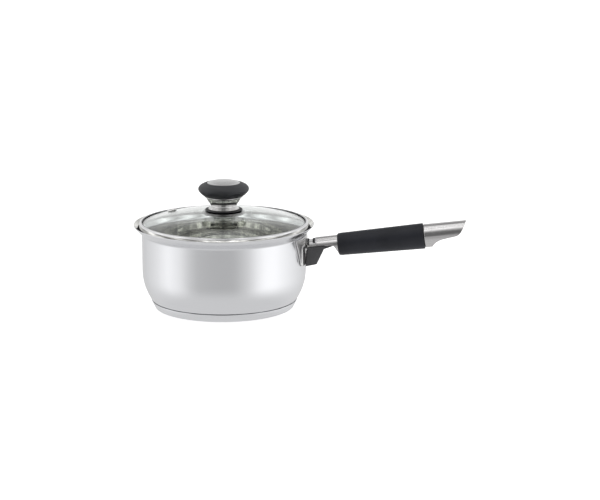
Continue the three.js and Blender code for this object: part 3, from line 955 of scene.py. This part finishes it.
def make_guard():
    """The block between the bracket and the neck, with a recess for the boss and a tongue to the grip."""
    block = [
        (*handle_point(81.6, 44), 0.4),
        (*handle_point(92.6, 46.4), 1.2),
        (17.2, -2, 1.6),
        (18.4, GUARD_TOP, 0.2),
        (handle_point(83.9, 62)[0], GUARD_TOP, 0.5),
    ]
    tongue = [
        (12, -2.5, 0.1),
        (17.2, -2, 1),
        (27, 0.4, 0.4),
        (27, GUARD_TOP, 0.2),
        (12, GUARD_TOP, 0.1),
    ]
    low, high = BRACKET_LOW.z - 4, BOSS_TOP + GAP
    room = [(70, low), (boss_face(low) + GAP, low), (boss_face(high) + GAP, high), (70, high)]
    guard = prism("heat_guard", ring_outline(block, 6), GUARD_WIDTH, HANDLE_FRAME)
    rounded_edges(guard, 0.4)
    combine(guard, prism("tongue", ring_outline(tongue, 4), GUARD_TONGUE_WIDTH, HANDLE_FRAME), "UNION")
    combine(guard, prism("room", room, 2 * (BOSS_HALF + GAP)), "DIFFERENCE")
    smooth(guard.data)
    use(guard, GUARD_PLASTIC, "pan", "flame_guard")


def make_bulkhead():
    start = BULKHEAD_START
    outer = seat_radius(start) - TUBE_SHEET - GAP
    plug = [(2.5, start, 0.1), (outer, start, 0.3), (outer, start + 3, 0.3), (2.5, start + 3, 0.1)]
    plug = turned_in_handle("tube_plug", ring_outline(plug), RING_FACETS)
    use(plug, BOLT_STEEL, "pan", "tube_bulkhead")


def make_bolt_washer():
    start = BULKHEAD_START + 3.6
    washer = [(2.5, start, 0.1), (5.2, start, 0.25), (5.2, start + 1.1, 0.25), (2.5, start + 1.1, 0.1)]
    washer = turned_in_handle("long_bolt_washer", ring_outline(washer), BOLT_FACETS)
    use(washer, BOLT_STEEL, "pan", "bolt_washer")


def make_handle_bolt():
    """The long bolt, whose head has a six-sided socket that faces the open tail."""
    head = BULKHEAD_START + 5.2
    bolt = [(0, 41), (1.8, 41), (2.2, 41.5), (2.2, head), (4, head), (4.2, head + 0.3)]
    bolt += [(4.2, head + 3.6), (3.8, head + 4), (0, head + 4)]
    bolt = turned_in_handle("long_bolt", bolt, BOLT_FACETS)
    socket = [(0, head + 1.6), (2, head + 1.6), (2, head + 5), (0, head + 5)]
    combine(bolt, turned_in_handle("socket", socket, 6), "DIFFERENCE")
    smooth(bolt.data)
    use(bolt, BOLT_STEEL, "pan", "handle_bolt")


# Lid

DOME_TOP = 96.5
DOME_CENTRE = DOME_TOP - DOME_RADIUS


def dome_height(radius, distance):
    """Height of a sphere about the dome's centre, above a distance from the lid's axis."""
    return DOME_CENTRE + math.sqrt(radius**2 - distance**2)


def dome_line(radius, start, end, steps):
    """The dome's section between two distances from the axis."""
    first = math.degrees(math.acos(start / radius))
    last = math.degrees(math.acos(end / radius))
    return arc(0, DOME_CENTRE, radius, first, last, steps)


def vent_frame():
    """Place of the steam vent, with Z square to the glass."""
    direction = math.radians(VENT_ANGLE)
    lean = math.asin(VENT_RADIUS / DOME_RADIUS)
    x, y = VENT_RADIUS * math.cos(direction), VENT_RADIUS * math.sin(direction)
    place = (x, y, dome_height(DOME_RADIUS, VENT_RADIUS))
    turn = Matrix.Rotation(direction, 4, "Z") @ Matrix.Rotation(lean, 4, "Y")
    return Matrix.Translation(place) @ turn


def make_glass():
    inner = DOME_RADIUS - GLASS_SHEET
    edge = (dome_height(DOME_RADIUS, GLASS_EDGE) + dome_height(inner, GLASS_EDGE)) / 2
    outline = [
        *dome_line(inner, KNOB_HOLE, GLASS_EDGE - 1.6, 44),
        *arc(GLASS_EDGE - 1.6, edge, 1.6, -70, 70, 10),
        *dome_line(DOME_RADIUS, GLASS_EDGE - 1.2, KNOB_HOLE, 44),
    ]
    glass = turned("glass_dome", outline, PAN_FACETS)
    drill = [(0, -9), (VENT_HOLE, -9), (VENT_HOLE, 6), (0, 6)]
    combine(glass, turned("hole", drill, BOLT_FACETS, vent_frame()), "DIFFERENCE")
    smooth(glass.data)
    use(glass, LID_GLASS, "lid", "lid_glass")


BAND_EDGE = 79.8  # inner edge of the band, on the glass
BAND_SHADE_RADIUS = 80.7  # the band's inner edge is painted dark grey up to this radius, as painted shade where the band meets the glass
LIP_CLEARANCE = 0.4  # between the straight stretches of the band's skirt and the pot


def make_band():
    wall = BAND_HIGH.x - BAND_SHEET / 2
    offset = PAN_SHEET / 2 + BAND_SHEET / 2 + LIP_CLEARANCE
    skirt = FLARE_CENTRE[0] - FLARE_BEND - offset
    top = dome_height(DOME_RADIUS, BAND_EDGE) + GAP + BAND_SHEET / 2
    line = [
        (skirt, BAND_LOW.z + 0.05, 0),
        (skirt, FLARE_START + 0.6, 4),
        (wall, lip_height(offset, wall), 0.5),
        (wall, top, 1.1),
        (BAND_SHADE_RADIUS, top + 0.1, 0),
        (BAND_EDGE, top, 0),
    ]
    band = turned("lid_rim", sheet_outline(rounded(line, 8), BAND_SHEET), PAN_FACETS)
    use(band, BAND_STEEL, "lid", "lid_band")
    band.data.materials.append(BAND_EDGE_SHADE)
    # The band's inner edge next to the glass gets the painted shade.
    for polygon in band.data.polygons:
        centre = polygon.center / MM
        in_band_shade = math.hypot(centre.x, centre.y) < BAND_SHADE_RADIUS and centre.z > top - 1.0
        polygon.material_index = 1 if in_band_shade else 0


def make_vent():
    """The eyelet through the glass and the washer that it is riveted against."""
    under = -GLASS_SHEET - GAP
    eyelet = [
        (2.2, under - 1.5, 0.3),
        (4.6, under - 1.5, 0.2),
        (4.6, under - 0.95, 0.2),
        (3.6, under - 0.95, 0.1),
        (3.6, 0.3, 0.1),
        (5, 0.3, 0.15),
        (5.1, 0.9, 0.3),
        (4.5, 1.8, 0.5),
        (3.4, 2, 0.5),
        (2.2, 1.4, 0.4),
    ]
    eyelet = turned("steam_eyelet", ring_outline(eyelet), RING_FACETS, vent_frame())
    use(eyelet, KNOB_STEEL, "lid", "vent_eyelet")
    washer = [(3.9, under - 0.65, 0.1), (5.4, under - 0.65, 0.15), (5.4, under, 0.15), (3.9, under, 0.1)]
    washer = turned("steam_washer", ring_outline(washer), RING_FACETS, vent_frame())
    use(washer, BOLT_STEEL, "lid", "vent_washer")


KNOB_FOOT = KNOB_LOW.z - 1.3  # underside of the stem
KNOB_RING = KNOB_HIGH.z - 12.5  # underside of the black ring


def make_knob_gasket():
    bottom, outer = KNOB_FOOT, GASKET_EDGE
    gasket = [
        *dome_line(DOME_RADIUS + GAP, 3, outer - 1.6, 12),
        (outer - 0.3, bottom - 1),
        (outer, bottom - 0.75),
        (outer, bottom - 0.6),
        (outer - 0.4, bottom - GAP),
        (3, bottom - GAP),
    ]
    gasket = turned("knob_seal", gasket, DISC_FACETS)
    use(gasket, SEAL_RUBBER, "lid", "knob_gasket")


def make_knob_stem():
    bottom = KNOB_FOOT
    stem = [
        (15.1, bottom + 0.1, 0),
        (14.2, bottom + 0.5, 0.5),
        (12.6, bottom + 1.25, 2),
        (11.5, bottom + 2.2, 0.3),
        (12.3, bottom + 2.9, 0.5),
        (12.2, bottom + 4, 0.8),
        (13.4, bottom + 5.6, 3),
        (15.5, bottom + 8.6, 8),
        (16.6, bottom + 10.6, 3),
        (17.6, bottom + 12, 2),
        (18.8, KNOB_RING - 0.7, 0),
    ]
    stem = turned("knob_collar", sheet_outline(rounded(stem, 8), 0.8), KNOB_FACETS)
    use(stem, KNOB_STEEL, "lid", "knob_stem")


def make_knob_ring():
    """The black ring and, in one piece with it, the hollow post inside the stem."""
    bottom, ring = KNOB_FOOT, KNOB_RING
    grip = [
        (0, ring - 1.2, 0),
        (4.2, ring - 1.2, 0.2),
        (4.2, bottom + 1.3, 0.2),
        (6.8, bottom + 1.3, 0.4),
        (6.8, ring - 2.6, 1),
        (9.8, ring, 1),
        (19.4, ring, 0.5),
        (21.4, ring + 1.3, 6),
        (23.4, ring + 3.3, 5),
        (24.9, ring + 5.5, 3),
        (24.8, ring + 8, 3),
        (22.6, ring + 10.3, 4),
        (19.6, ring + 11.8, 6),
        (17.6, ring + 12.5, 1.2),
        (16.5, ring + 12.5, 0.2),
        (16.5, ring + 11.7, 0.2),
        (0, ring + 11.7, 0),
    ]
    grip = turned("knob_ring", rounded(grip, 8), KNOB_FACETS)
    use(grip, KNOB_PLASTIC, "lid", "knob_grip")


def make_knob_disc():
    ring = KNOB_RING
    disc = [
        (0, ring + 12, 0),
        (16.1, ring + 12, 0.2),
        (16.1, ring + 12.7, 0.3),
        (13, ring + 13.8, 8),
        (8, KNOB_TOP - 0.5, 20),
        (0, KNOB_TOP, 0),
    ]
    disc = turned("knob_disc", rounded(disc, 8), KNOB_FACETS)
    use(disc, DISC_STEEL, "lid", "knob_cap")


def make_knob_insert():
    low, high = KNOB_FOOT + 1.6, KNOB_RING - 1.1
    insert = [(2.5, low, 0.2), (3.9, low, 0.3), (3.9, high, 0.3), (2.5, high, 0.2)]
    insert = turned("brass_insert", ring_outline(insert), BOLT_FACETS)
    use(insert, INSERT_BRASS, "lid", "knob_insert")


def make_inner_seal():
    low, outer = SEAL_LOW.z, SEAL_HIGH.x
    seal = [
        (2.8, low),
        (outer - 0.6, low),
        (outer, low + 0.6),
        *dome_line(DOME_RADIUS - GLASS_SHEET - GAP, outer, 2.8, 12),
    ]
    seal = turned("inner_seal", seal, DISC_FACETS)
    use(seal, SEAL_RUBBER, "lid", "under_gasket")


def make_inner_washer():
    low, high = WASHER_LOW.z, WASHER_HIGH.z
    washer = [(2.8, low, 0.15), (15, low, 0.35), (15, high, 0.35), (2.8, high, 0.15)]
    washer = turned("inner_washer", ring_outline(washer), DISC_FACETS)
    use(washer, DISC_STEEL, "lid", "under_washer")


def make_knob_screw():
    """The screw from below into the knob, with a crossed slot in its head."""
    low = SCREW_LOW.z
    screw = [
        (0, low, 0),
        (3.4, low, 0.5),
        (4.6, low + 1, 0.5),
        (4.6, low + 2.6, 0.2),
        (2.2, low + 2.6, 0.2),
        (2.2, SCREW_HIGH.z, 0.4),
        (0, SCREW_HIGH.z, 0),
    ]
    screw = turned("knob_fixing_screw", rounded(screw), BOLT_FACETS)
    slot = [(-2.5, -1.3), (2.5, -1.3), (2.5, 1.3), (-2.5, 1.3)]
    for turn in (0, math.pi / 2):
        place = Matrix.Translation((0, 0, low)) @ Matrix.Rotation(turn, 4, "Z")
        combine(screw, prism("slot", slot, 1, place), "DIFFERENCE")
    smooth(screw.data)
    use(screw, BOLT_STEEL, "lid", "knob_screw")


# Studio


FLOOR_HALF = 6000
FLOOR_DROP = 0.0001  # metres below the base


def make_floor():
    """A pale floor that glows a little and is left out of the steel's reflections."""
    bm = bmesh.new()
    bmesh.ops.create_grid(bm, x_segments=1, y_segments=1, size=FLOOR_HALF)
    floor = add_object("floor", bm)
    floor.location.z = cad_box[0][2] - FLOOR_DROP
    paint = Paint("pale_floor", (0.86, 0.86, 0.86), 0.9)
    paint.set("Roughness", paint.spread(paint.noise(paint.place, 8, 3), 0.85, 0.95))
    paint.shader.inputs["Specular IOR Level"].default_value = 0.0
    paint.shader.inputs["Emission Color"].default_value = (1, 1, 1, 1)
    paint.shader.inputs["Emission Strength"].default_value = 0.6
    floor.data.materials.append(paint.material)
    floor.visible_glossy = False


CAMERA_AZIMUTH = 6.0
CAMERA_ELEVATION = 12.6
CAMERA_DISTANCE = 2.0  # metres
CAMERA_AIM = (0.0742, 0.0078, 0.0558)  # metres
CAMERA_LENS = 122.0
LOW_ROUND = (  # brightness low down, by angle to the right of the camera in degrees
    (-180, 0.7), (-145, 0.74), (-108, 0.97), (-83, 1.22), (-62, 1.05), (-49, 0.78),
    (-36, 0.62), (-10, 0.58), (14, 0.58), (25, 0.68), (37, 0.84), (49, 1.12),
    (61, 1.32), (76, 1.34), (92, 1.22), (107, 1.1), (120, 1.0), (150, 0.8),
    (180, 0.7),
)
OVER_THE_TOP = (  # brightness from the horizon at the camera, over the top, to the far horizon
    (-6, 0.5), (2, 0.22), (22, 0.16), (40, 0.34), (52, 0.65), (64, 0.85), (74, 0.6),
    (88, 0.4), (104, 0.4), (124, 0.5), (142, 0.65), (160, 0.7), (172, 0.85),
    (186, 0.8),
)
HIGH_BARS = (  # what the brightness high up is multiplied by, by the angle of LOW_ROUND
    (-180, 1), (-168, 0.4), (-150, 2.4), (-132, 0.3), (-112, 2.2), (-92, 0.4),
    (-72, 2.2), (-50, 0.2), (-32, 2.6), (-14, 0.4), (0, 1), (14, 0.3), (32, 2.6),
    (52, 0.3), (72, 2.2), (94, 0.3), (114, 2.4), (136, 0.3), (156, 2), (170, 0.5),
    (180, 1),
)
OVERHEAD = ((60, 0), (76, 0.4), (84, 0.7), (96, 0.7), (104, 0.4), (118, 0))  # softbox
TABLE_LEVEL = 0.76
SIDE_LEVEL = 0.95
# Where one part of the studio fades into the next, as the sine of the angle up or to the side.
TABLE_FADE = (-0.72, -0.3)
HORIZON_FADE = (-0.13, -0.02)
BARS_FADE = (0.42, 0.55)
SIDE_FADE = (0.22, 0.92)
OVERHEAD_FADE = (0.2, 0.32)


def make_world():
    """Soft light all round: a bright table, panels at the sides and above, a dark front, bars high up."""
    world = bpy.data.worlds.new("studio")
    bpy.context.scene.world = world
    tree = Tree(world)
    turn = tree.node("ShaderNodeMapping", Vector=tree.nodes.new("ShaderNodeTexCoord").outputs["Generated"])
    turn.inputs["Rotation"].default_value = (0, 0, -math.radians(CAMERA_AZIMUTH))
    parts = tree.node("ShaderNodeSeparateXYZ", Vector=turn.outputs[0])
    right, up = parts.outputs[0], parts.outputs[2]
    front = tree.math("MULTIPLY", parts.outputs[1], -1)
    round_angle = tree.math("DEGREES", tree.math("ARCTAN2", right, front))
    low = tree.curve(round_angle, LOW_ROUND)
    low = tree.between(tree.spread(up, 1, 0, *TABLE_FADE, True), low, TABLE_LEVEL)
    # Below the far horizon the angle over the top counts on past 180 degrees.
    over = tree.math("DEGREES", tree.math("ARCTAN2", up, front))
    wrapped = tree.math("ADD", over, tree.spread(over, 360, 0, -90.001, -90))
    high = tree.curve(wrapped, OVER_THE_TOP)
    aside = tree.math("ABSOLUTE", right)
    panel = tree.spread(aside, 1, 0, *OVERHEAD_FADE, True)
    high = tree.math("ADD", high, tree.math("MULTIPLY", tree.curve(wrapped, OVERHEAD), panel))
    sideways = tree.spread(aside, 0, 1, *SIDE_FADE, True)
    high = tree.between(sideways, high, SIDE_LEVEL)
    barred = tree.math("MULTIPLY", high, tree.curve(round_angle, HIGH_BARS))
    high = tree.between(tree.spread(up, 0, 1, *BARS_FADE, True), high, barred)
    level = tree.between(tree.spread(up, 0, 1, *HORIZON_FADE, True), low, high)
    background = tree.nodes["Background"]
    tree.links.new(level, background.inputs["Strength"])
    white = tree.node("ShaderNodeBackground", Color=(1, 1, 1, 1))
    mixer = tree.nodes.new("ShaderNodeMixShader")
    tree.links.new(tree.nodes.new("ShaderNodeLightPath").outputs["Is Camera Ray"], mixer.inputs[0])
    tree.links.new(background.outputs[0], mixer.inputs[1])
    tree.links.new(white.outputs[0], mixer.inputs[2])
    tree.links.new(mixer.outputs[0], tree.nodes["World Output"].inputs["Surface"])
    background.inputs["Color"].default_value = (1, 1, 1, 1)


def make_camera():
    camera = bpy.data.cameras.new("camera")
    camera.lens = CAMERA_LENS
    camera.clip_end = 100.0
    holder = bpy.data.objects.new("camera", camera)
    bpy.context.scene.collection.objects.link(holder)
    azimuth, elevation = math.radians(CAMERA_AZIMUTH), math.radians(CAMERA_ELEVATION)
    across = math.cos(elevation)
    back = Vector((math.sin(azimuth) * across, -math.cos(azimuth) * across, math.sin(elevation)))
    holder.location = Vector(CAMERA_AIM) + back * CAMERA_DISTANCE
    holder.rotation_euler = (-back).to_track_quat("-Z", "Y").to_euler()
    bpy.context.scene.camera = holder


make_pot()
make_base()
make_base_core()
make_bracket()
make_tube()
make_grip()
make_arm()
make_neck_ring("front_ring", "neck_ring_front", RING_START, RING_START + 1.5, 4)
make_neck_ring("rear_ring", "neck_ring_rear", TUBE_START - 2.3, TUBE_START - GAP, 5.6)
make_guard()
make_bulkhead()
make_bolt_washer()
make_handle_bolt()
make_glass()
make_band()
make_vent()
make_knob_gasket()
make_knob_stem()
make_knob_ring()
make_knob_disc()
make_knob_insert()
make_inner_seal()
make_inner_washer()
make_knob_screw()
make_floor()
make_world()
make_camera()

bpy.context.scene.view_settings.view_transform = "Standard"
bpy.context.scene.cycles.glossy_bounces = 8
bpy.context.scene.cycles.transmission_bounces = 12
bpy.context.scene.cycles.max_bounces = 16
